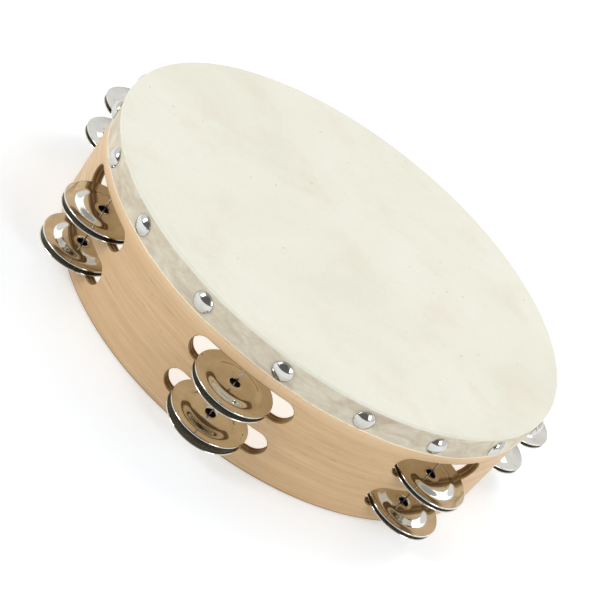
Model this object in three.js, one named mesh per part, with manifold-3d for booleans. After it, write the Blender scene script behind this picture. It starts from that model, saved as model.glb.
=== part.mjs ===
// A wooden tambourine: a bent plywood shell with a tacked-on skin head and two rows of loose jingle pairs.
// Millimetres, +Z up. The origin is the centre of the playing face, and the open rim is the lowest edge.
// Azimuths are in degrees about +Z, from -Y (the near side) towards +X.

import * as THREE from "three";
import { mergeVertices } from "three/addons/utils/BufferGeometryUtils.js";
import Module from "manifold-3d";

// ---- driving dimensions ----

// the shell, a ring of bent plywood, and the bands of wood that its slots leave
const SHELL_RADIUS = 127;
const SHELL_WALL = 5;
const TOP_BAND = 17.9;
const ROW_BAR = 8.6;
const BOTTOM_BAND = 10;
const BEARING_ROUND = 1.8;
const RIM_ROUND = 1.2;
const INNER_EASE = 0.6;

// the skin, stretched over the bearing edge and turned down as a collar
const SKIN_THICKNESS = 0.6;
const COLLAR_DEPTH = 13.5;

// the dome-headed tacks that hold the collar
const TACK_COUNT = 19;
const TACK_DROP = 7.3;
const TACK_HEAD = 9.8;
const TACK_DOME = 2.7;
const TACK_SKIRT = 0.4;
const TACK_SHANK = 1.6;
const TACK_BITE = 3.6;
const TACK_POINT = 1.2;
const TACK_START = 4.2;
const TACK_WANDER = 1.3;

// the stations, each a pin with one jingle pair in the upper row and one in the lower row, spread evenly
// outside a wider gap, in degrees, that the hand holds
const STATION_COUNT = 7;
const HAND_GAP = 69.6;

// the jingles, discs of thin sheet with a flat brim and a pressed, flat-topped crown
const JINGLE_DIAMETER = 38;
const JINGLE_SHEET = 0.5;
const JINGLE_RISE = 1.2;
const JINGLE_CROWN = 19;
const JINGLE_FOOT = 28;
const JINGLE_HOLE = 5.2;
const JINGLE_TRAVEL = 5;

// how far the discs of a pair lean outwards at rest, in degrees; the lower one varies between stations
const TOP_LEAN = 2;
const BOTTOM_LEAN = 5.8;
const LEAN_WANDER = 2.2;

// the pins, driven up through the rim
const PIN_DIAMETER = 1.2;
const PIN_EMBED = 5;
const PIN_RECESS = 0.6;
const PIN_POINT = 1;

// ---- clearances ----

const SEAT_GAP = 0.25;
const RUNNING_GAP = 0.3;
const SLOT_END_ROOM = 7.5;
const CUT_OVERRUN = 2;
const MERGE_DISTANCE = 1e-4;

// ---- facets ----

const RING_FACETS = 72;
const JINGLE_FACETS = 16;
const TACK_FACETS = 10;
const SHANK_FACETS = 6;
const PIN_FACETS = 6;
const ROUND_FACETS = 2;
const SLOT_END_FACETS = 5;

// ---- what follows from them ----

const SHELL_INNER = SHELL_RADIUS - SHELL_WALL;
const SHELL_TOP = -(SKIN_THICKNESS + SEAT_GAP);
const SKIN_INNER = SHELL_RADIUS + SEAT_GAP;
const SKIN_OUTER = SKIN_INNER + SKIN_THICKNESS;
const STATION_PITCH = (360 - HAND_GAP) / (STATION_COUNT - 1);
const JINGLE_HEIGHT = JINGLE_RISE + JINGLE_SHEET;
const JINGLE_SETTLE = (JINGLE_HOLE - PIN_DIAMETER) / 2 - RUNNING_GAP;
const WALL_REACH = SHELL_WALL / 2 + JINGLE_SETTLE;
const STEEPEST_LEAN = BOTTOM_LEAN + LEAN_WANDER;
const PAIR_HEIGHT = sillGap(STEEPEST_LEAN) + pairGap(STEEPEST_LEAN) + 2 * JINGLE_HEIGHT;
const SLOT_LENGTH = JINGLE_DIAMETER + 2 * SLOT_END_ROOM;
const SLOT_HEIGHT = PAIR_HEIGHT + JINGLE_TRAVEL + WALL_REACH * sine(TOP_LEAN) + RUNNING_GAP;
const UPPER_SILL = SHELL_TOP - TOP_BAND - SLOT_HEIGHT;
const LOWER_SILL = UPPER_SILL - ROW_BAR - SLOT_HEIGHT;
const RIM_Z = LOWER_SILL - BOTTOM_BAND;
const PIN_CIRCLE = SHELL_RADIUS - SHELL_WALL / 2;
const ROWS = [
  { name: "upper", sill: UPPER_SILL },
  { name: "lower", sill: LOWER_SILL },
];

const wasm = await Module();
wasm.setup();

// ---- helpers ----

function radians(angle) {
  return THREE.MathUtils.degToRad(angle);
}

function sine(angle) {
  return Math.sin(radians(angle));
}

// A closed geometry as a solid that can be cut and joined.
function solidOf(geometry) {
  const bare = geometry.index ? geometry.toNonIndexed() : geometry.clone();
  bare.deleteAttribute("normal");
  bare.deleteAttribute("uv");
  const merged = mergeVertices(bare, MERGE_DISTANCE);
  return new wasm.Manifold(
    new wasm.Mesh({
      numProp: 3,
      vertProperties: merged.attributes.position.array,
      triVerts: new Uint32Array(merged.index.array),
    }),
  );
}

// A cut or joined solid as a geometry again, with flat facets.
function geometryOf(solid) {
  const mesh = solid.getMesh();
  const indexed = new THREE.BufferGeometry();
  indexed.setAttribute("position", new THREE.BufferAttribute(mesh.vertProperties, mesh.numProp));
  indexed.setIndex(new THREE.BufferAttribute(mesh.triVerts, 1));
  const geometry = indexed.toNonIndexed();
  geometry.computeVertexNormals();
  return geometry;
}

// A profile of [radius, height] pairs turned about +Z. It runs anticlockwise, with the radius to the right.
function turned(profile, facets) {
  const points = profile.map(([radius, height]) => new THREE.Vector2(radius, height));
  return new THREE.LatheGeometry(points, facets).rotateX(Math.PI / 2);
}

// Points of an arc from one angle to another, both ends included.
function arc(centreRadius, centreHeight, radius, from, to, steps = ROUND_FACETS) {
  return Array.from({ length: steps + 1 }, (_, i) => {
    const angle = radians(from + ((to - from) * i) / steps);
    return [centreRadius + radius * Math.cos(angle), centreHeight + radius * Math.sin(angle)];
  });
}

function stationAzimuth(station) {
  return (station - (STATION_COUNT + 1) / 2) * STATION_PITCH;
}

// How far the lower disc of a pair leans outwards.
function bottomLean(station) {
  return BOTTOM_LEAN + LEAN_WANDER * Math.cos(radians(3 * stationAzimuth(station)));
}

// The air under a leaning lower disc's crown, as wide as keeps it off the sill wherever it is above the wall.
function sillGap(lean) {
  return RUNNING_GAP + WALL_REACH * sine(lean);
}

// The air between the two brims of a pair on their axis, which leaves the running gap at their inner edges.
function pairGap(lean) {
  return RUNNING_GAP + (JINGLE_DIAMETER / 2) * Math.abs(sine(lean) - sine(TOP_LEAN));
}

// Tacks are set by hand, so their spacing wanders a little around the even step.
function tackAzimuth(tack) {
  const even = TACK_START + ((tack - 1) * 360) / TACK_COUNT;
  return even + TACK_WANDER * Math.cos(radians(3 * even));
}

function named(name, geometry, material) {
  const mesh = new THREE.Mesh(geometry, material);
  mesh.name = name;
  return mesh;
}

// ---- the shell ----

// The ring alone: a rounded bearing edge under the skin, eased inner corners and a rounded outer rim.
function shellRing() {
  const low = RIM_Z;
  const profile = [
    [SHELL_INNER, low + INNER_EASE],
    [SHELL_INNER + INNER_EASE, low],
    ...arc(SHELL_RADIUS - RIM_ROUND, low + RIM_ROUND, RIM_ROUND, -90, 0),
    ...arc(SHELL_RADIUS - BEARING_ROUND, SHELL_TOP - BEARING_ROUND, BEARING_ROUND, 0, 90),
    [SHELL_INNER + INNER_EASE, SHELL_TOP],
    [SHELL_INNER, SHELL_TOP - INNER_EASE],
    [SHELL_INNER, low + INNER_EASE],
  ];
  return solidOf(turned(profile, RING_FACETS));
}

// A slot is a straight router cut with round ends, right through the wall.
function slotCut(sill, azimuth) {
  const end = SLOT_HEIGHT / 2;
  const reach = SLOT_LENGTH / 2 - end;
  const outline = new THREE.Shape();
  outline.absarc(reach, end, end, -Math.PI / 2, Math.PI / 2, false);
  outline.absarc(-reach, end, end, Math.PI / 2, (3 * Math.PI) / 2, false);
  const nearest = Math.sqrt(SHELL_INNER ** 2 - (SLOT_LENGTH / 2) ** 2) - CUT_OVERRUN;
  const farthest = SHELL_RADIUS + CUT_OVERRUN;
  const cut = new THREE.ExtrudeGeometry(outline, {
    depth: farthest - nearest,
    curveSegments: SLOT_END_FACETS,
    bevelEnabled: false,
  });
  cut.rotateX(Math.PI / 2);
  cut.translate(0, -nearest, sill);
  cut.rotateZ(radians(azimuth));
  return solidOf(cut);
}

// One drilling from the rim serves both slots of a station and stops blind in the top band.
function pinBore(azimuth) {
  const top = SHELL_TOP - TOP_BAND + PIN_EMBED + RUNNING_GAP;
  const bottom = RIM_Z - CUT_OVERRUN;
  const radius = PIN_DIAMETER / 2 + RUNNING_GAP;
  const bore = new THREE.CylinderGeometry(radius, radius, top - bottom, PIN_FACETS);
  bore.rotateX(Math.PI / 2);
  bore.translate(0, -PIN_CIRCLE, (top + bottom) / 2);
  bore.rotateZ(radians(azimuth));
  return solidOf(bore);
}

// The hole of one tack, from outside the skin to just past the tack's point.
function tackBore(azimuth) {
  const outside = SKIN_OUTER + CUT_OVERRUN;
  const inside = SHELL_RADIUS - TACK_BITE - RUNNING_GAP;
  const radius = TACK_SHANK / 2 + RUNNING_GAP;
  const bore = new THREE.CylinderGeometry(radius, radius, outside - inside, SHANK_FACETS);
  bore.translate(0, -(outside + inside) / 2, -TACK_DROP);
  bore.rotateZ(radians(azimuth));
  return solidOf(bore);
}

function shellGeometry() {
  let shell = shellRing();
  for (let station = 1; station <= STATION_COUNT; station += 1) {
    const azimuth = stationAzimuth(station);
    for (const row of ROWS) {
      shell = shell.subtract(slotCut(row.sill, azimuth));
    }
    shell = shell.subtract(pinBore(azimuth));
  }
  for (let tack = 1; tack <= TACK_COUNT; tack += 1) {
    shell = shell.subtract(tackBore(tackAzimuth(tack)));
  }
  return geometryOf(shell);
}

// ---- the skin head ----

// A flat membrane that turns over the bearing edge into the collar, one thickness all the way.
function skinGeometry() {
  const roundCentre = SHELL_RADIUS - BEARING_ROUND;
  const roundHeight = SHELL_TOP - BEARING_ROUND;
  const innerRound = BEARING_ROUND + SEAT_GAP;
  const profile = [
    [0, -SKIN_THICKNESS],
    ...arc(roundCentre, roundHeight, innerRound, 90, 0),
    [SKIN_INNER, -COLLAR_DEPTH],
    [SKIN_OUTER, -COLLAR_DEPTH],
    ...arc(roundCentre, roundHeight, innerRound + SKIN_THICKNESS, 0, 90),
    [0, 0],
  ];
  let skin = solidOf(turned(profile, RING_FACETS));
  for (let tack = 1; tack <= TACK_COUNT; tack += 1) {
    skin = skin.subtract(tackBore(tackAzimuth(tack)));
  }
  return geometryOf(skin);
}

// ---- tacks ----

// A tack about +Z, its head's flat underside at zero, with a thin skirt under a spherical dome.
function tackGeometry() {
  const head = TACK_HEAD / 2;
  const crownHeight = TACK_DOME - TACK_SKIRT;
  const sphere = (head ** 2 + crownHeight ** 2) / (2 * crownHeight);
  const edgeAngle = THREE.MathUtils.radToDeg(Math.acos(head / sphere));
  const shank = TACK_SHANK / 2;
  const tip = -(RUNNING_GAP + SKIN_THICKNESS + SEAT_GAP + TACK_BITE);
  const dome = arc(0, TACK_DOME - sphere, sphere, edgeAngle, 90);
  dome[dome.length - 1][0] = 0;
  const profile = [[0, tip], [shank, tip + TACK_POINT], [shank, 0], [head, 0], ...dome];
  return turned(profile, TACK_FACETS);
}

// ---- pins ----

function pinGeometry() {
  const radius = PIN_DIAMETER / 2;
  const low = RIM_Z + PIN_RECESS;
  const high = SHELL_TOP - TOP_BAND + PIN_EMBED;
  const profile = [
    [0, low],
    [radius, low],
    [radius, high - PIN_POINT],
    [0, high],
  ];
  return turned(profile, PIN_FACETS);
}

// ---- jingles ----

// A jingle with its crown up: the underside of the brim is at zero, and the sheet keeps its thickness.
function jingleGeometry() {
  const hole = JINGLE_HOLE / 2;
  const crown = JINGLE_CROWN / 2;
  const foot = JINGLE_FOOT / 2;
  const brim = JINGLE_DIAMETER / 2;
  const profile = [
    [hole, JINGLE_RISE],
    [crown, JINGLE_RISE],
    [foot, 0],
    [brim, 0],
    [brim, JINGLE_SHEET],
    [foot, JINGLE_SHEET],
    [crown, JINGLE_HEIGHT],
    [hole, JINGLE_HEIGHT],
    [hole, JINGLE_RISE],
  ];
  return turned(profile, JINGLE_FACETS);
}

// A disc of a pair, turned from crown up about the line that the wall follows; its far side tips down.
function addDisc(group, name, place, azimuth, turn, geometry, material) {
  const disc = named(name, geometry, material);
  disc.position.copy(place);
  disc.quaternion.setFromAxisAngle(new THREE.Vector3(Math.cos(azimuth), Math.sin(azimuth), 0), radians(turn));
  group.add(disc);
}

// A pair at rest lies hollow to hollow on its sill. Both discs have slid towards -Y as far as their holes
// let them, and both lean outwards, the lower one more, so the pair gapes outside the shell.
function addPair(group, station, row, geometry, material) {
  const azimuth = radians(stationAzimuth(station));
  const lean = bottomLean(station);
  const name = `jingle_${station}_${row.name}`;
  const place = new THREE.Vector3(
    PIN_CIRCLE * Math.sin(azimuth),
    -PIN_CIRCLE * Math.cos(azimuth) - JINGLE_SETTLE,
    row.sill + sillGap(lean) + JINGLE_HEIGHT,
  );
  addDisc(group, `${name}_bottom`, place, azimuth, 180 + lean, geometry, material);
  place.z += pairGap(lean);
  addDisc(group, `${name}_top`, place, azimuth, TOP_LEAN, geometry, material);
}

// ---- the whole instrument ----

function finish(color, roughness, metalness) {
  return new THREE.MeshStandardMaterial({ color, roughness, metalness });
}

function buildTambourine() {
  const wood = finish(0xd9b88c, 0.55, 0);
  const hide = finish(0xe8e7da, 0.7, 0);
  const chrome = finish(0xd8d8d6, 0.12, 1);
  const steel = finish(0x8a8680, 0.35, 1);
  const nickel = finish(0xcfc8ba, 0.1, 1);

  const tambourine = new THREE.Group();
  tambourine.add(named("shell", shellGeometry(), wood));
  tambourine.add(named("skin_head", skinGeometry(), hide));

  const tackShape = tackGeometry();
  for (let tack = 1; tack <= TACK_COUNT; tack += 1) {
    const spoke = new THREE.Group();
    spoke.rotation.z = radians(tackAzimuth(tack));
    const mesh = named(`tack_${String(tack).padStart(2, "0")}`, tackShape, chrome);
    mesh.position.set(0, -(SKIN_OUTER + RUNNING_GAP), -TACK_DROP);
    mesh.rotation.x = Math.PI / 2;
    spoke.add(mesh);
    tambourine.add(spoke);
  }

  const pinShape = pinGeometry();
  const jingleShape = jingleGeometry();
  for (let station = 1; station <= STATION_COUNT; station += 1) {
    const azimuth = radians(stationAzimuth(station));
    const pin = named(`pin_${station}`, pinShape, steel);
    pin.position.set(PIN_CIRCLE * Math.sin(azimuth), -PIN_CIRCLE * Math.cos(azimuth), 0);
    tambourine.add(pin);
    for (const row of ROWS) {
      addPair(tambourine, station, row, jingleShape, nickel);
    }
  }
  return tambourine;
}

const tambourine = buildTambourine();

export default tambourine;
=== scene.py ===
"""A wooden tambourine around its CAD frame: a bent plywood shell, a tacked-on skin head and jingle pairs."""

import math

import bmesh
import bpy
import numpy as np
from mathutils import Matrix, Vector


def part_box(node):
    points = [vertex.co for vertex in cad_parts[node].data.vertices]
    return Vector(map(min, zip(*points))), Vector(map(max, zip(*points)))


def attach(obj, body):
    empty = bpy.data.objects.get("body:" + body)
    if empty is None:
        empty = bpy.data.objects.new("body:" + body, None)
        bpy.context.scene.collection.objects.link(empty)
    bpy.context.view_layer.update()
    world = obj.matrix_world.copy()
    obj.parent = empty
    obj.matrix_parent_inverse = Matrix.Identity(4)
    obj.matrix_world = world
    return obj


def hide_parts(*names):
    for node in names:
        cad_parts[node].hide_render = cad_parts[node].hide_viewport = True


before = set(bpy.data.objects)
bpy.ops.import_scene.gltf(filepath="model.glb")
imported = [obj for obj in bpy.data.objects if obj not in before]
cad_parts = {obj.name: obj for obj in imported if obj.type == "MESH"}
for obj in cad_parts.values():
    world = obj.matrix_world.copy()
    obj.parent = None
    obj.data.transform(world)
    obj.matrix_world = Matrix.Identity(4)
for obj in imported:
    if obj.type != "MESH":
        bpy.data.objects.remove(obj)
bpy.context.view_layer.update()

MM = 0.001

# ---- places and sizes that the CAD frame gives ----

shell_low, shell_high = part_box("shell")
skin_low, skin_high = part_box("skin_head")
RIM = shell_low.z
SHELL_TOP = shell_high.z
SHELL_RADIUS = shell_high.x
SKIN_OUTER = skin_high.x
SKIN_TOP = skin_high.z
COLLAR_END = skin_low.z

# ---- sizes repeated from the CAD source ----

SHELL_WALL = 5 * MM
SHELL_INNER = SHELL_RADIUS - SHELL_WALL
BEARING_ROUND = 1.8 * MM
RIM_ROUND = 1.2 * MM
INNER_EASE = 0.6 * MM
TOP_BAND = 17.9 * MM
ROW_BAR = 8.6 * MM
BOTTOM_BAND = 10 * MM
SLOT_HEIGHT = (SHELL_TOP - RIM - TOP_BAND - ROW_BAR - BOTTOM_BAND) / 2
SLOT_LENGTH = 53 * MM
STATIONS = 7
STATION_PITCH = 48.4
ROWS = ("upper", "lower")
SKIN_THICKNESS = 0.6 * MM
SEAT_GAP = 0.25 * MM
TACKS = 19
TACK_HEAD = 9.8 * MM
TACK_DOME = 2.7 * MM
TACK_SHANK = 1.6 * MM
TACK_SHOULDER = 3.4 * MM
TACK_LENGTH = 4.5 * MM
JINGLE_RADIUS = 19 * MM
HOLE_RADIUS = 2.6 * MM
JINGLE_SHEET = 0.5 * MM
CROWN_RADIUS = 9.5 * MM
FOOT_RADIUS = 14 * MM
JINGLE_SETTLE = 1.7 * MM
RUNNING_GAP = 0.3 * MM

# ---- finer sizes that only the looks have ----

PLIES = 5
SLOT_OFFSET = 1.2 * MM
SLOT_EASE = 0.35 * MM
# heights above the rim over which the painted contact shadow along the foot of the shell fades out
CONTACT_SHADOW_BAND = (0.6 * MM, 1.4 * MM)
FOLD_ROUND = 1.3 * MM
CUT_EDGE = 0.6 * MM
TACK_SKIRT = 0.45 * MM
TACK_SUNK = 0.05 * MM
PIN_RADIUS = 0.36 * MM
PIN_CHAMFER = 0.2 * MM
PIN_POINT = 1 * MM
HOLE_EASE = 0.2 * MM
JINGLE_RISE = 1 * MM
JINGLE_FLARE = 0.8 * MM
JINGLE_BEAD = 0.38 * MM
PLATE_WAVE = 0.004 * MM

# how far the top discs tip outwards or inwards, and how far each pair gapes, from the first station to the
# last, all in degrees
TOP_TIP = 1
PAIR_GAPE = {
    "upper": (1.2, 1.0, 1.9, 2.0, 0.2, 0.2, 2.8),
    "lower": (2.2, 0.8, 2.6, 5.0, 0.4, 0.4, 1.4),
}


# ---- small helpers ----


def around(azimuth, radius, z):
    """A point at an azimuth in radians from -Y towards +X."""
    return (radius * math.sin(azimuth), -radius * math.cos(azimuth), z)


def station_azimuth(station):
    """The azimuth of a pin, counting the stations from 1."""
    return math.radians((station - (STATIONS + 1) / 2) * STATION_PITCH)


def arc(centre, radius, start, end, steps):
    """Points of an arc about (across, up), angles in degrees, both ends included."""
    angles = np.radians(np.linspace(start, end, steps + 1))
    return [(centre[0] + radius * math.cos(a), centre[1] + radius * math.sin(a)) for a in angles]


def make_piece(name, vertices, faces, materials, indices=None):
    """A smooth-shaded mesh piece, with its doubled vertices merged and its faces turned outwards."""
    mesh = bpy.data.meshes.new(name)
    mesh.from_pydata(vertices, [], faces)
    if indices is not None:
        mesh.polygons.foreach_set("material_index", indices)
    work = bmesh.new()
    work.from_mesh(mesh)
    bmesh.ops.remove_doubles(work, verts=work.verts, dist=1e-7)
    bmesh.ops.recalc_face_normals(work, faces=work.faces)
    work.to_mesh(mesh)
    work.free()
    mesh.polygons.foreach_set("use_smooth", [True] * len(mesh.polygons))
    for material in materials:
        mesh.materials.append(material)
    piece = bpy.data.objects.new(name, mesh)
    bpy.context.scene.collection.objects.link(piece)
    return piece


def turned(profile, segments):
    """Vertices and faces of a closed profile of (radius, height) turned about +Z."""
    vertices = []
    for step in range(segments):
        angle = 2 * math.pi * step / segments
        vertices += [(r * math.cos(angle), r * math.sin(angle), z) for r, z in profile]
    count = len(profile)
    faces = []
    for step in range(segments):
        here, there = step * count, (step + 1) % segments * count
        for i in range(count):
            j = (i + 1) % count
            corners = [here + i, there + i, there + j, here + j]
            if profile[i][0] == 0 and profile[j][0] == 0:
                continue
            if profile[i][0] == 0:
                corners = [here + i, there + j, here + j]
            elif profile[j][0] == 0:
                corners = [here + i, there + i, here + j]
            faces.append(corners)
    return vertices, faces


def own_place(piece, turn, number):
    """Stores each vertex's place on the piece itself, moved on for each number, for the material to read."""
    attribute = piece.data.attributes.new("own_place", "FLOAT_VECTOR", "POINT")
    step = Vector((0, 0, number))
    attribute.data.foreach_set("vector", [c for v in piece.data.vertices for c in turn @ v.co + step])


def stand_in(piece, node, body):
    """The piece rides on a body in place of a CAD node, which is hidden."""
    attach(piece, body)
    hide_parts(node)
    return piece


# ---- node materials ----


class Graph:
    """A material's node tree around one Principled shader."""

    def __init__(self, name, own=False):
        self.own = own
        self.material = bpy.data.materials.new(name)
        self.material.use_nodes = True
        self.tree = self.material.node_tree
        self.shader = self.tree.nodes["Principled BSDF"]

    def node(self, kind, inputs=(), **settings):
        """A new node with its settings, and each input linked to a socket or set to a value."""
        made = self.tree.nodes.new(kind)
        for key, value in settings.items():
            setattr(made, key, value)
        for key, value in dict(inputs).items():
            if isinstance(value, bpy.types.NodeSocket):
                self.tree.links.new(value, made.inputs[key])
            else:
                made.inputs[key].default_value = value
        return made

    def place(self, scale):
        """The piece's own coordinates in metres, stretched by a scale for each axis."""
        return self.node("ShaderNodeMapping", {"Vector": self.origin(), "Scale": scale}).outputs[0]

    def origin(self):
        """The point being shaded, on the piece itself if the piece has an own place."""
        if self.own:
            return self.node("ShaderNodeAttribute", attribute_name="own_place").outputs["Vector"]
        return self.node("ShaderNodeTexCoord").outputs["Object"]

    def axis(self, name):
        return self.node("ShaderNodeSeparateXYZ", {0: self.origin()}).outputs[name]

    def noise(self, scale, detail=4.0, roughness=0.55, distortion=0.0, stretch=(1, 1, 1)):
        inputs = {"Vector": self.place(stretch), "Scale": scale, "Detail": detail,
                  "Roughness": roughness, "Distortion": distortion}
        return self.node("ShaderNodeTexNoise", inputs).outputs["Fac"]

    def math(self, operation, a, b=0.0):
        return self.node("ShaderNodeMath", {0: a, 1: b}, operation=operation).outputs[0]

    def spread(self, value, low, high, to_low=0.0, to_high=1.0):
        """A value's range from low to high, spread over another range and held at its ends."""
        inputs = {"Value": value, "From Min": low, "From Max": high, "To Min": to_low, "To Max": to_high}
        return self.node("ShaderNodeMapRange", inputs, clamp=True).outputs[0]

    def blend(self, factor, a, b):
        mix = self.node("ShaderNodeMix", data_type="RGBA")
        for socket, value in ((mix.inputs[0], factor), (mix.inputs[6], a), (mix.inputs[7], b)):
            if isinstance(value, bpy.types.NodeSocket):
                self.tree.links.new(value, socket)
            else:
                socket.default_value = value
        return mix.outputs[2]

    def drive(self, socket, value):
        self.tree.links.new(value, self.shader.inputs[socket])

    def bump(self, height, distance, strength):
        inputs = {"Height": height, "Distance": distance, "Strength": strength}
        self.drive("Normal", self.node("ShaderNodeBump", inputs).outputs[0])

    def set(self, **values):
        """Constant values for the shader's own sockets, with _ in place of spaces."""
        for key, value in values.items():
            self.shader.inputs[key.replace("_", " ")].default_value = value


def colour(red, green, blue):
    """A display colour, 0 to 255, as linear light."""
    def linear(value):
        value /= 255
        return value / 12.92 if value <= 0.04045 else ((value + 0.055) / 1.055) ** 2.4
    return (linear(red), linear(green), linear(blue), 1.0)


def veneer_material():
    """Light maple veneer with its grain running round the shell, under a thin satin lacquer, with a painted
    highlight below the collar and a painted contact shadow along the rim.
    """
    g = Graph("veneer")
    broad = g.noise(1, 3, 0.5, stretch=(9, 9, 60))
    streaks = g.noise(1, 6, 0.6, 0.4, stretch=(22, 22, 520))
    fibres = g.noise(1, 3, 0.6, stretch=(110, 110, 3600))
    pores = g.spread(g.noise(1, 2, 0.5, stretch=(170, 170, 2300)), 0.68, 0.76)
    tone = g.blend(g.spread(streaks, 0.3, 0.7), colour(219, 191, 151), colour(197, 164, 121))
    tone = g.blend(g.spread(broad, 0.35, 0.65, 0.0, 0.5), tone, colour(208, 172, 128))
    tone = g.blend(g.spread(fibres, 0.3, 0.7, 0.0, 0.3), tone, colour(178, 136, 94))
    flecks = g.spread(g.noise(1, 3, 0.5, stretch=(34, 34, 760)), 0.66, 0.74, 0.0, 0.5)
    tone = g.blend(flecks, tone, colour(160, 112, 70))
    tone = g.blend(g.math("MULTIPLY", pores, 0.45), tone, colour(128, 86, 54))
    # painted highlight: the wood is drawn lighter from the top of the upper slots up to the collar
    painted_highlight_band = g.spread(g.axis("Z"), SHELL_TOP - TOP_BAND, COLLAR_END, 0.0, 0.55)
    tone = g.blend(painted_highlight_band, tone, colour(240, 212, 172))
    ticks = g.spread(g.noise(1, 2, 0.5, stretch=(1700, 1700, 60)), 0.5, 0.7, 0.0, 0.5)
    tone = g.blend(g.math("MULTIPLY", ticks, painted_highlight_band), tone, colour(196, 150, 104))
    # painted contact shadow: the veneer goes dark brown towards the rim, where the shell meets the floor
    painted_contact_shadow = g.spread(g.axis("Z"), RIM + CONTACT_SHADOW_BAND[0], RIM + CONTACT_SHADOW_BAND[1], 1.0, 0.0)
    tone = g.blend(painted_contact_shadow, tone, colour(66, 44, 28))
    g.drive("Base Color", tone)
    g.drive("Roughness", g.spread(streaks, 0.2, 0.8, 0.4, 0.56))
    g.bump(g.math("SUBTRACT", fibres, pores), 0.03 * MM, 0.6)
    g.set(Specular_IOR_Level=0.4)
    return g.material


def ply_edge_material():
    """Cut edges of the plywood: plies of alternating grain with dark glue lines, a little scorched."""
    g = Graph("ply_edge")
    coordinates = g.node("ShaderNodeTexCoord").outputs["Object"]
    flat = g.node("ShaderNodeVectorMath", {0: coordinates, 1: (1, 1, 0)}, operation="MULTIPLY")
    radius = g.node("ShaderNodeVectorMath", {0: flat.outputs[0]}, operation="LENGTH").outputs["Value"]
    uneven = g.spread(g.noise(90, 3), 0, 1, -0.12 * MM, 0.12 * MM)
    depth = g.math("ADD", g.math("SUBTRACT", SHELL_RADIUS, radius), uneven)
    plies = g.math("DIVIDE", depth, SHELL_WALL / PLIES)
    within = g.math("FRACT", plies)
    alternate = g.math("GREATER_THAN", g.math("FRACT", g.math("DIVIDE", plies, 2)), 0.5)
    line = g.spread(g.math("ABSOLUTE", g.math("SUBTRACT", within, 0.5)), 0.38, 0.47)
    grain = g.noise(1, 4, 0.65, stretch=(900, 900, 900))
    tone = g.blend(alternate, colour(184, 150, 102), colour(140, 107, 66))
    tone = g.blend(g.spread(grain, 0.3, 0.7, 0.0, 0.4), tone, colour(100, 74, 44))
    tone = g.blend(g.math("MULTIPLY", line, 0.7), tone, colour(76, 54, 32))
    g.drive("Base Color", tone)
    g.bump(g.math("ADD", grain, line), 0.04 * MM, 0.5)
    g.set(Roughness=0.72, Specular_IOR_Level=0.25)
    return g.material


def skin_material():
    """Natural hide: off-white and faintly mottled on top, greyer on the collar with grime and painted shade,
    tan underneath.
    """
    g = Graph("hide")
    cloud = g.noise(14, 5, 0.6, 0.6)
    warm = g.noise(26, 4, 0.6, 0.3)
    fine = g.noise(420, 4, 0.7)
    fibre = g.noise(1500, 3, 0.7)
    grime_and_shade = g.noise(1, 5, 0.65, 0.8, stretch=(75, 75, 150))
    specks = g.spread(g.noise(260, 1, 0.4), 0.76, 0.8)
    face = g.blend(g.spread(cloud, 0.35, 0.68), colour(236, 235, 221), colour(229, 228, 212))
    face = g.blend(g.spread(warm, 0.52, 0.75, 0.0, 0.35), face, colour(226, 208, 190))
    # the collar's tones are darker than the face's, partly grime and partly painted shade on the turned-down
    # side, blended in below the fold
    collar = g.blend(g.spread(grime_and_shade, 0.38, 0.72), colour(214, 208, 187), colour(186, 168, 146))
    down = g.axis("Z")
    side = g.spread(down, -FOLD_ROUND, -FOLD_ROUND / 2, 1.0, 0.0)
    tone = g.blend(side, face, collar)
    tone = g.blend(g.spread(fine, 0.35, 0.7, 0.0, 0.12), tone, colour(205, 200, 178))
    tone = g.blend(g.math("MULTIPLY", specks, 0.35), tone, colour(150, 128, 100))
    facing = g.node("ShaderNodeSeparateXYZ", {0: g.node("ShaderNodeNewGeometry").outputs["Normal"]})
    under = g.spread(facing.outputs["Z"], -0.9, -0.7, 1.0, 0.0)
    flesh = g.blend(g.spread(warm, 0.35, 0.65), colour(224, 200, 158), colour(208, 182, 138))
    g.drive("Base Color", g.blend(under, tone, flesh))
    g.drive("Roughness", g.spread(cloud, 0.3, 0.7, 0.55, 0.68))
    g.bump(g.math("ADD", fine, g.math("MULTIPLY", fibre, 0.5)), 0.02 * MM, 0.5)
    g.set(Specular_IOR_Level=0.3)
    return g.material


def cut_edge_material():
    """The hide's freshly cut edge, paler than the collar's outer face with its grime and painted shade."""
    g = Graph("hide_cut_edge")
    ragged = g.noise(800, 4, 0.7)
    g.drive("Base Color", g.blend(g.spread(ragged, 0.35, 0.65), colour(252, 242, 218), colour(236, 220, 190)))
    g.bump(ragged, 0.05 * MM, 0.5)
    g.set(Roughness=0.8, Specular_IOR_Level=0.2)
    return g.material


def metal_material(name, tint, dull, smudge, rough=(0.05, 0.13), metallic=1.0):
    """Polished plate with smudges, fine scratches and a slight waviness from the press."""
    g = Graph(name, own=True)
    clouds = g.noise(smudge, 5, 0.65, 0.5)
    scratches = g.noise(1, 2, 0.7, stretch=(9000, 500, 3000))
    pits = g.spread(g.noise(520, 1, 0.3), 0.765, 0.785)
    tone = g.blend(g.spread(clouds, 0.4, 0.75, 0.0, 0.8), tint, dull)
    tone = g.blend(g.math("MULTIPLY", pits, 0.7), tone, colour(70, 60, 50))
    g.drive("Base Color", tone)
    worn = g.spread(clouds, 0.35, 0.75, rough[0], rough[1])
    worn = g.math("ADD", worn, g.spread(scratches, 0.62, 0.8, 0.0, 0.12))
    g.drive("Roughness", g.math("ADD", worn, g.math("MULTIPLY", pits, 0.4)))
    g.bump(g.noise(95, 2, 0.4), PLATE_WAVE, 1.0)
    g.set(Metallic=metallic)
    return g.material


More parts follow.
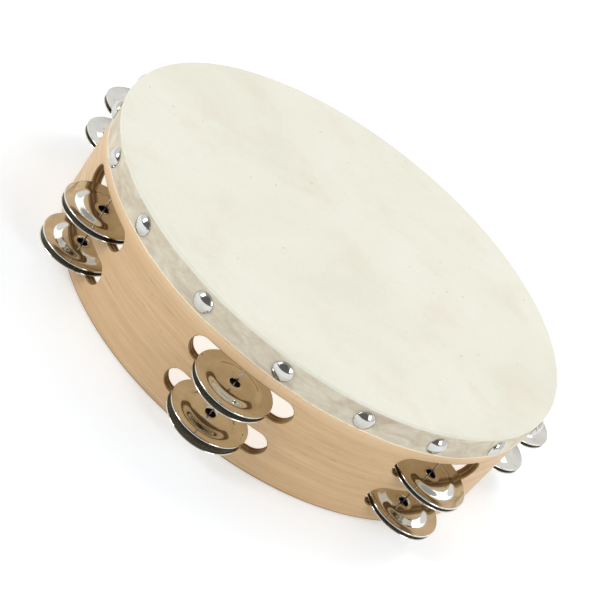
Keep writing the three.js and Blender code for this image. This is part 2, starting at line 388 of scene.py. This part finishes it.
def wire_material():
    """Drawn wire, slightly dulled, with faint marks of the drawing along it."""
    g = Graph("pin_wire", own=True)
    marks = g.noise(1, 3, 0.6, stretch=(4000, 4000, 60))
    g.drive("Base Color", g.blend(g.spread(marks, 0.3, 0.7), colour(184, 178, 168), colour(148, 142, 132)))
    g.drive("Roughness", g.spread(marks, 0.3, 0.7, 0.22, 0.34))
    g.set(Metallic=1.0)
    return g.material


# ---- the shell ----

SLOT_END = SLOT_HEIGHT / 2
SLOT_SPINE = SLOT_LENGTH / 2 - SLOT_END
SLOT_CENTRES = {
    "upper": SHELL_TOP - TOP_BAND - SLOT_END,
    "lower": RIM + BOTTOM_BAND + SLOT_END,
}
FACE_TOP = SHELL_TOP - BEARING_ROUND
FACE_BOTTOM = RIM + RIM_ROUND
FACE_MIDDLE = (SLOT_CENTRES["upper"] + SLOT_CENTRES["lower"]) / 2
ACROSS_STEPS = 52
UP_STEPS = 10
FACE_RINGS = 8
RING_CROWDING = 1.4
EASE_STEPS = 3
WALL_STEPS = 6
BACK_STEPS = 24
BEARING_STEPS = 6
RIM_STEPS = 5
INNER_STEPS = 4
SECTOR = math.radians(STATION_PITCH) / 2


def border_points(low, high):
    """The outline of a station's share of the wall, as (angle, height), anticlockwise from the low left."""
    across = np.linspace(-SECTOR, SECTOR, ACROSS_STEPS + 1)
    up = np.linspace(low, high, UP_STEPS + 1)
    points = [(a, low) for a in across[:-1]]
    points += [(SECTOR, z) for z in up[:-1]]
    points += [(a, high) for a in across[:0:-1]]
    points += [(-SECTOR, z) for z in up[:0:-1]]
    return points


def slot_strand(angle, z, centre):
    """Points from the border across the outer face, through the slot's wall and back across the inner face.
    Each is (angle, radius, height); the slot's walls are parallel, as a straight cutter leaves them."""
    out = SHELL_RADIUS * angle, z - centre
    foot = min(max(out[0], -SLOT_SPINE), SLOT_SPINE)
    away = Vector((out[0] - foot, out[1])).normalized()

    def edge(offset, radius):
        reach = SLOT_END + offset
        return math.asin((foot + reach * away.x) / radius), centre + reach * away.y

    def face(radius):
        near = edge(SLOT_EASE, radius)
        shares = [(i / FACE_RINGS) ** RING_CROWDING for i in range(FACE_RINGS + 1)]
        return [(near[0] + s * (angle - near[0]), radius, near[1] + s * (z - near[1])) for s in shares]

    def ease(surface, inwards):
        points = []
        for i in range(1, EASE_STEPS + 1):
            turn = math.pi / 2 * i / EASE_STEPS
            radius = surface + inwards * SLOT_EASE * (1 - math.cos(turn))
            a, height = edge(SLOT_EASE * (1 - math.sin(turn)), radius)
            points.append((a, radius, height))
        return points

    outer_ease = ease(SHELL_RADIUS, -1)
    inner_ease = ease(SHELL_INNER, 1)
    wall = []
    for i in range(1, WALL_STEPS):
        radius = SHELL_RADIUS - SLOT_EASE - (SHELL_WALL - 2 * SLOT_EASE) * i / WALL_STEPS
        a, height = edge(0, radius)
        wall.append((a, radius, height))
    return face(SHELL_RADIUS)[::-1] + outer_ease + wall + inner_ease[::-1] + face(SHELL_INNER)


class Patchwork:
    """Collects grids of points into one mesh."""

    def __init__(self):
        self.vertices, self.faces, self.indices = [], [], []

    def grid(self, rows, closed, material_of):
        """Adds quads between neighbouring rows; closed joins the last row to the first."""
        start, width = len(self.vertices), len(rows[0])
        for row in rows:
            self.vertices += row
        for i in range(len(rows) if closed else len(rows) - 1):
            a, b = start + i * width, start + (i + 1) % len(rows) * width
            for j in range(width - 1):
                self.faces.append((a + j, b + j, b + j + 1, a + j + 1))
                self.indices.append(material_of(j))


def edge_profiles():
    """The shell's top and bottom edges, each from the outer face round to the inner one."""
    top = arc((SHELL_RADIUS - BEARING_ROUND, FACE_TOP), BEARING_ROUND, 0, 90, BEARING_STEPS)
    top += arc((SHELL_INNER + INNER_EASE, SHELL_TOP - INNER_EASE), INNER_EASE, 90, 180, INNER_STEPS)
    top.append((SHELL_INNER, FACE_TOP))
    bottom = arc((SHELL_RADIUS - RIM_ROUND, FACE_BOTTOM), RIM_ROUND, 0, -90, RIM_STEPS)
    bottom += arc((SHELL_INNER + INNER_EASE, RIM + INNER_EASE), INNER_EASE, -90, -180, INNER_STEPS)
    bottom.append((SHELL_INNER, FACE_BOTTOM))
    return top, bottom


def build_shell():
    """The bent ring: a patch of wall round each slot, the plain wall of the hand gap, and the two edges."""
    work = Patchwork()
    aside = SLOT_OFFSET / SHELL_RADIUS
    stations = [station_azimuth(i) + aside for i in range(1, STATIONS + 1)]
    first_cut = FACE_RINGS
    last_cut = first_cut + 2 * EASE_STEPS + WALL_STEPS - 1
    for station in stations:
        for row, low, high in (("upper", FACE_MIDDLE, FACE_TOP), ("lower", FACE_BOTTOM, FACE_MIDDLE)):
            strands = []
            for angle, z in border_points(low, high):
                strand = slot_strand(angle, z, SLOT_CENTRES[row])
                strands.append([around(station + a, r, height) for a, r, height in strand])
            work.grid(strands, True, lambda j: int(first_cut <= j <= last_cut))

    back = np.linspace(stations[-1] + SECTOR, stations[0] - SECTOR + 2 * math.pi, BACK_STEPS + 1)
    levels = list(np.linspace(FACE_BOTTOM, FACE_MIDDLE, UP_STEPS + 1))
    levels += list(np.linspace(FACE_MIDDLE, FACE_TOP, UP_STEPS + 1))[1:]
    for radius in (SHELL_RADIUS, SHELL_INNER):
        work.grid([[around(a, radius, z) for z in levels] for a in back], False, lambda j: 0)

    columns = [station + a for station in stations for a in np.linspace(-SECTOR, SECTOR, ACROSS_STEPS + 1)]
    columns += list(back)
    for profile in edge_profiles():
        rows = [[around(a, r, z) for r, z in profile] for a in columns]
        work.grid(rows, True, lambda j: int(j > 0))
    return make_piece("shell_plywood", work.vertices, work.faces,
                      [veneer_material(), ply_edge_material()], work.indices)


# ---- the skin head ----

SKIN_SEGMENTS = 288
HEAD_RINGS = (0, 30 * MM, 60 * MM, 85 * MM, 105 * MM, 118 * MM)
FOLD_STEPS = 8
COLLAR_STEPS = 8
# how much the cut edge is drawn up on the whole, and its waves as size, count round the drum and phase
EDGE_LIFT = 0.45 * MM
EDGE_WAVES = ((0.22 * MM, 5, 0.6), (0.16 * MM, 11, 2.1), (0.1 * MM, 23, 4.0), (0.06 * MM, 41, 1.0))


def build_skin():
    """One thickness of hide, flat over the shell and turned down its side to a hand-cut edge."""
    centre = (SHELL_RADIUS - BEARING_ROUND, FACE_TOP)
    inside = BEARING_ROUND + SEAT_GAP
    under = [(r, SKIN_TOP - SKIN_THICKNESS) for r in HEAD_RINGS]
    under += arc(centre, inside, 90, 0, FOLD_STEPS)
    drop = list(np.linspace(FACE_TOP, COLLAR_END + CUT_EDGE, COLLAR_STEPS + 1)[1:])
    under += [(centre[0] + inside, z) for z in drop + [COLLAR_END]]
    over = [(SKIN_OUTER, z) for z in [COLLAR_END] + drop[::-1]]
    over += arc((SKIN_OUTER - FOLD_ROUND, SKIN_TOP - FOLD_ROUND), FOLD_ROUND, 0, 90, FOLD_STEPS)
    over += [(r, SKIN_TOP) for r in HEAD_RINGS[::-1]]
    profile = under + over
    vertices, faces = turned(profile, SKIN_SEGMENTS)
    cut_steps = (len(under) - 1, len(under))

    # the edge is cut by hand, so it waves a little; the fold above it stays straight
    shaped = []
    depth = FACE_TOP - COLLAR_END
    for x, y, z in vertices:
        azimuth = math.atan2(x, -y)
        share = max(0.0, (FACE_TOP - z) / depth)
        wave = sum(size * math.sin(count * azimuth + phase) for size, count, phase in EDGE_WAVES)
        shaped.append((x, y, z + share ** 2 * (EDGE_LIFT + wave)))
    # the profile's last step runs along the axis and has no face, so a segment has a face for each other step
    steps = len(faces) // SKIN_SEGMENTS
    sides = [int(i % steps in cut_steps) for i in range(len(faces))]
    return make_piece("skin_hide", shaped, faces, [skin_material(), cut_edge_material()], sides)


# ---- tacks and pins ----

TACK_SEGMENTS = 56
DOME_STEPS = 14
LIP_STEPS = 5
PIN_SEGMENTS = 20


def tack_profile():
    """A dome-headed tack about +Z, its head's underside at zero."""
    head = TACK_HEAD / 2
    crown = TACK_DOME - TACK_SKIRT
    sphere = (head ** 2 + crown ** 2) / (2 * crown)
    edge = math.degrees(math.acos(head / sphere))
    dome = arc((0, TACK_DOME - sphere), sphere, edge, 90, DOME_STEPS)
    dome[-1] = (0, TACK_DOME)
    lip = arc((head - TACK_SKIRT / 2, TACK_SKIRT / 2), TACK_SKIRT / 2, -90, 60, LIP_STEPS)
    shank = TACK_SHANK / 2
    return [(0, -TACK_LENGTH), (shank, -TACK_SHOULDER), (shank, 0)] + lip + dome[1:]


def build_tacks(material):
    """Tacks driven square to the collar at their CAD places, with their heads pressed into the hide."""
    vertices, faces = turned(tack_profile(), TACK_SEGMENTS)
    for number in range(1, TACKS + 1):
        node = f"tack_{number:02d}"
        low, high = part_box(node)
        middle = (low + high) / 2
        azimuth = math.atan2(middle.x, -middle.y)
        turn = (Matrix.Rotation(azimuth, 4, "Z") @ Matrix.Rotation(math.pi / 2, 4, "X")).to_3x3()
        tack = make_piece(f"dome_{node}", [turn @ Vector(v) for v in vertices], faces, [material])
        tack.location = around(azimuth, SKIN_OUTER - TACK_SUNK, middle.z)
        own_place(tack, turn.inverted(), number)
        stand_in(tack, node, "frame")


def build_pins(material):
    """Plain drawn wire pins, with a chamfered lower end that shows in the rim and a point in the wood."""
    for number in range(1, STATIONS + 1):
        node = f"pin_{number}"
        low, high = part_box(node)
        middle = (low + high) / 2
        profile = [(0, low.z), (PIN_RADIUS - PIN_CHAMFER, low.z), (PIN_RADIUS, low.z + PIN_CHAMFER)]
        profile += [(PIN_RADIUS, high.z - PIN_POINT), (0, high.z)]
        vertices, faces = turned(profile, PIN_SEGMENTS)
        pin = make_piece(f"wire_{node}", vertices, faces, [material])
        pin.location = (middle.x, middle.y, 0)
        own_place(pin, Matrix.Identity(3), number)
        stand_in(pin, node, "frame")


# ---- jingles ----

JINGLE_SEGMENTS = 80
FLARE_CURVE = 1.25
CROWN_RINGS = (5 * MM, 7.5 * MM)
PRESS_RINGS = 13
BRIM_RINGS = 9
HOLE_STEPS = 4
BEAD_STEPS = 10
BEAD_REACH = 135
# the press's warps of a disc, as size, count round the disc and the turn from one disc to the next
DISC_WARPS = ((0.07 * MM, 2, 1.7), (0.04 * MM, 3, 2.9))


def jingle_profile():
    """A pressed disc, crown up: a flat crown, a rounded step down to a valley and a brim that flares up again
    to a beaded edge. Returns the closed profile and how many of its steps are on the hollow side."""
    def rise(r):
        if r <= CROWN_RADIUS:
            return JINGLE_RISE
        if r >= FOOT_RADIUS:
            share = (r - FOOT_RADIUS) / (JINGLE_RADIUS - FOOT_RADIUS)
            return JINGLE_FLARE * share ** FLARE_CURVE
        turn = math.pi * (r - CROWN_RADIUS) / (FOOT_RADIUS - CROWN_RADIUS)
        return JINGLE_RISE * (1 + math.cos(turn)) / 2

    edge = JINGLE_SHEET / 2
    outer = JINGLE_RADIUS - 2 * JINGLE_BEAD
    radii = [HOLE_RADIUS + HOLE_EASE, *CROWN_RINGS]
    radii += list(np.linspace(CROWN_RADIUS, FOOT_RADIUS, PRESS_RINGS))
    radii += list(np.linspace(FOOT_RADIUS, outer, BRIM_RINGS))[1:]
    top = [(r, rise(r) + JINGLE_SHEET) for r in radii]
    bottom = [(r, rise(r)) for r in radii]
    bead = (JINGLE_RADIUS - JINGLE_BEAD, rise(outer) + edge)
    rim = arc(bead, JINGLE_BEAD, BEAD_REACH, -BEAD_REACH, BEAD_STEPS)
    hole = arc((HOLE_RADIUS + HOLE_EASE, JINGLE_RISE + edge), HOLE_EASE, 270, 90, HOLE_STEPS)[1:-1]
    return bottom[::-1] + hole + top + rim, len(bottom) - 1


def disc_poses(station, row):
    """Where the two discs of a pair lie at rest, hollow to hollow: the lower one just over the sill, and each
    leaning outwards about the line that the wall follows, so the valleys nearly touch on the inner side."""
    azimuth = station_azimuth(station)
    top_lean = math.radians(-TOP_TIP * math.cos(3 * azimuth))
    lean = top_lean + math.radians(PAIR_GAPE[row][station - 1])
    low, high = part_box(f"pin_{station}")
    pin = (low + high) / 2
    sill = SLOT_CENTRES[row] - SLOT_END
    lift = RUNNING_GAP + (SHELL_WALL / 2 + JINGLE_SETTLE) * abs(math.sin(lean))
    apart = RUNNING_GAP + FOOT_RADIUS * (math.sin(lean) - math.sin(top_lean))
    bottom = Vector((pin.x, pin.y - JINGLE_SETTLE, sill + lift + JINGLE_RISE + JINGLE_SHEET))
    top = bottom + Vector((0, 0, apart))
    tangent = Vector((math.cos(azimuth), math.sin(azimuth), 0))
    return {
        "bottom": (bottom, Matrix.Rotation(math.pi + lean, 3, tangent)),
        "top": (top, Matrix.Rotation(top_lean, 3, tangent)),
    }


def build_jingles(plate, hollow):
    """Pressed discs, each with the slight warp of its own that the press leaves."""
    profile, hollow_steps = jingle_profile()
    shape, faces = turned(profile, JINGLE_SEGMENTS)
    sides = [int(i % len(profile) < hollow_steps) for i in range(len(faces))]
    for station in range(1, STATIONS + 1):
        for row in ROWS:
            for place, (spot, turn) in disc_poses(station, row).items():
                node = f"jingle_{station}_{row}_{place}"
                number = 4 * station + 2 * ROWS.index(row) + (place == "top")
                warped = []
                for x, y, z in shape:
                    angle, out = math.atan2(y, x), math.hypot(x, y) / JINGLE_RADIUS
                    warp = sum(size * math.cos(count * angle + turning * number)
                               for size, count, turning in DISC_WARPS)
                    warped.append(Vector((x, y, z + warp * out ** 3)))
                disc = [turn @ v for v in warped]
                jingle = make_piece(f"disc_{station}_{row}_{place}", disc, faces, [plate, hollow], sides)
                jingle.location = spot
                own_place(jingle, turn.inverted(), number)
                stand_in(jingle, node, node)


# ---- stage, light and camera ----

CAMERA_BACK = 572.6 * MM
CAMERA_HEIGHT = 271.4 * MM
CAMERA_AZIMUTH = -0.25
CAMERA_PITCH = 29.08
CAMERA_ROLL = 38.93
CAMERA_LENS = 77.44
GLOW_INSIDE = 0.66
GLOW_OUTSIDE = 0.37
GLOW_EDGE = 3 * MM
FLOOR_REACH = 40
WORLD_LEVEL = 0.9
WORLD_FRONT = 0.18
WORLD_OVERHEAD = 0.45
FRONT_FADE = (0.35, 0.75)
OVERHEAD_FADE = (0.55, 0.9)
# each soft box's name, place, size and power, and whether metal mirrors it
SOFTBOXES = (
    ("box_left", (-1.15, -0.8, 0.62), (0.5, 0.7), 9, True),
    ("box_right", (1.15, -0.8, 0.62), (0.5, 0.7), 6.5, True),
    ("box_behind", (0.5, 1.3, 1.3), (0.9, 0.9), 10, False),
    ("box_right_shoulder", (0.51, 0.54, 0.6), (0.35, 0.35), 0.65, True),
    ("box_left_shoulder", (-0.51, 0.54, 0.6), (0.35, 0.35), 0.34, True),
)


def build_camera():
    """A long lens before the drum and above it, pitched down and rolled so that the drum seems to lean."""
    data = bpy.data.cameras.new("camera")
    data.lens = CAMERA_LENS
    data.sensor_width = 36
    camera = bpy.data.objects.new("camera", data)
    bpy.context.scene.collection.objects.link(camera)
    azimuth = math.radians(CAMERA_AZIMUTH)
    turn = Matrix.Rotation(azimuth, 4, "Z")
    aim = Matrix.Rotation(math.radians(90 - CAMERA_PITCH), 4, "X")
    roll = Matrix.Rotation(math.radians(CAMERA_ROLL), 4, "Z")
    spot = Matrix.Translation(around(azimuth, CAMERA_BACK, SKIN_TOP + CAMERA_HEIGHT))
    camera.matrix_world = spot @ turn @ aim @ roll
    bpy.context.scene.camera = camera


def softbox(name, place, size, power, mirrored):
    """A rectangular area light that faces the middle of the drum."""
    data = bpy.data.lights.new(name, "AREA")
    data.shape = "RECTANGLE"
    data.size, data.size_y = size
    data.energy = power
    lamp = bpy.data.objects.new(name, data)
    bpy.context.scene.collection.objects.link(lamp)
    lamp.location = place
    lamp.rotation_mode = "QUATERNION"
    lamp.rotation_quaternion = (Vector((0, 0, RIM / 2)) - Vector(place)).to_track_quat("-Z", "Y")
    lamp.visible_glossy = mirrored


def build_floor():
    """A white light table, brightest where the open drum stands over it."""
    corners = [(FLOOR_REACH * x, FLOOR_REACH * y, RIM) for x, y in ((-1, -1), (1, -1), (1, 1), (-1, 1))]
    g = Graph("light_table")
    g.drive("Base Color", g.blend(g.noise(8, 3), (0.73, 0.755, 0.78, 1), (0.76, 0.785, 0.81, 1)))
    flat = g.node("ShaderNodeVectorMath", {0: g.origin(), 1: (1, 1, 0)}, operation="MULTIPLY")
    radius = g.node("ShaderNodeVectorMath", {0: flat.outputs[0]}, operation="LENGTH").outputs["Value"]
    glow = g.spread(radius, SHELL_INNER - GLOW_EDGE, SHELL_INNER, GLOW_INSIDE, GLOW_OUTSIDE)
    g.drive("Emission Strength", glow)
    g.set(Roughness=0.9, Specular_IOR_Level=0.1, Emission_Color=(1, 1, 1, 1))
    floor = make_piece("floor", corners, [(0, 1, 2, 3)], [g.material])


def build_world():
    """A white sweep behind and beside the object, dimmer overhead and dark where the camera stands."""
    world = bpy.data.worlds.new("studio")
    world.use_nodes = True
    bpy.context.scene.world = world
    tree = world.node_tree

    def node(kind, inputs, **settings):
        made = tree.nodes.new(kind)
        for key, value in settings.items():
            setattr(made, key, value)
        for key, value in inputs.items():
            if isinstance(value, bpy.types.NodeSocket):
                tree.links.new(value, made.inputs[key])
            else:
                made.inputs[key].default_value = value
        return made.outputs[0]

    def fade(value, span, shade):
        inputs = {"Value": value, "From Min": span[0], "From Max": span[1], "To Min": 1, "To Max": shade}
        return node("ShaderNodeMapRange", inputs, interpolation_type="SMOOTHSTEP")

    direction = tree.nodes.new("ShaderNodeTexCoord").outputs["Generated"]
    parts = tree.nodes.new("ShaderNodeSeparateXYZ")
    tree.links.new(direction, parts.inputs[0])
    near = node("ShaderNodeMath", {0: parts.outputs["Y"], 1: -1.0}, operation="MULTIPLY")
    front = fade(near, FRONT_FADE, WORLD_FRONT)
    overhead = fade(parts.outputs["Z"], OVERHEAD_FADE, WORLD_OVERHEAD)
    level = node("ShaderNodeMath", {0: front, 1: overhead}, operation="MULTIPLY")
    background = tree.nodes["Background"]
    background.inputs["Color"].default_value = (1, 1, 1, 1)
    tree.links.new(node("ShaderNodeMath", {0: level, 1: WORLD_LEVEL}, operation="MULTIPLY"),
                   background.inputs["Strength"])


def build_lights():
    """Soft boxes at both sides of the camera, a wide one behind, and a small one over each shoulder of the
    drum for the steps of the jingles to mirror."""
    for box in SOFTBOXES:
        softbox(*box)


# ---- the whole scene ----

build_camera()
build_floor()
build_world()
build_lights()
stand_in(build_shell(), "shell", "frame")
skin_piece = stand_in(build_skin(), "skin_head", "frame")
tack_metal = metal_material("tack_plate", colour(212, 211, 205), colour(188, 186, 177), 120)
jingle_metal = metal_material("jingle_plate", colour(222, 221, 215), colour(204, 200, 190), 60)
hollow_metal = metal_material("jingle_hollow", colour(166, 160, 142), colour(128, 120, 102), 90,
                              rough=(0.2, 0.34), metallic=0.82)
build_tacks(tack_metal)
build_pins(wire_material())
build_jingles(jingle_metal, hollow_metal)

bpy.context.scene.view_settings.view_transform = "Standard"
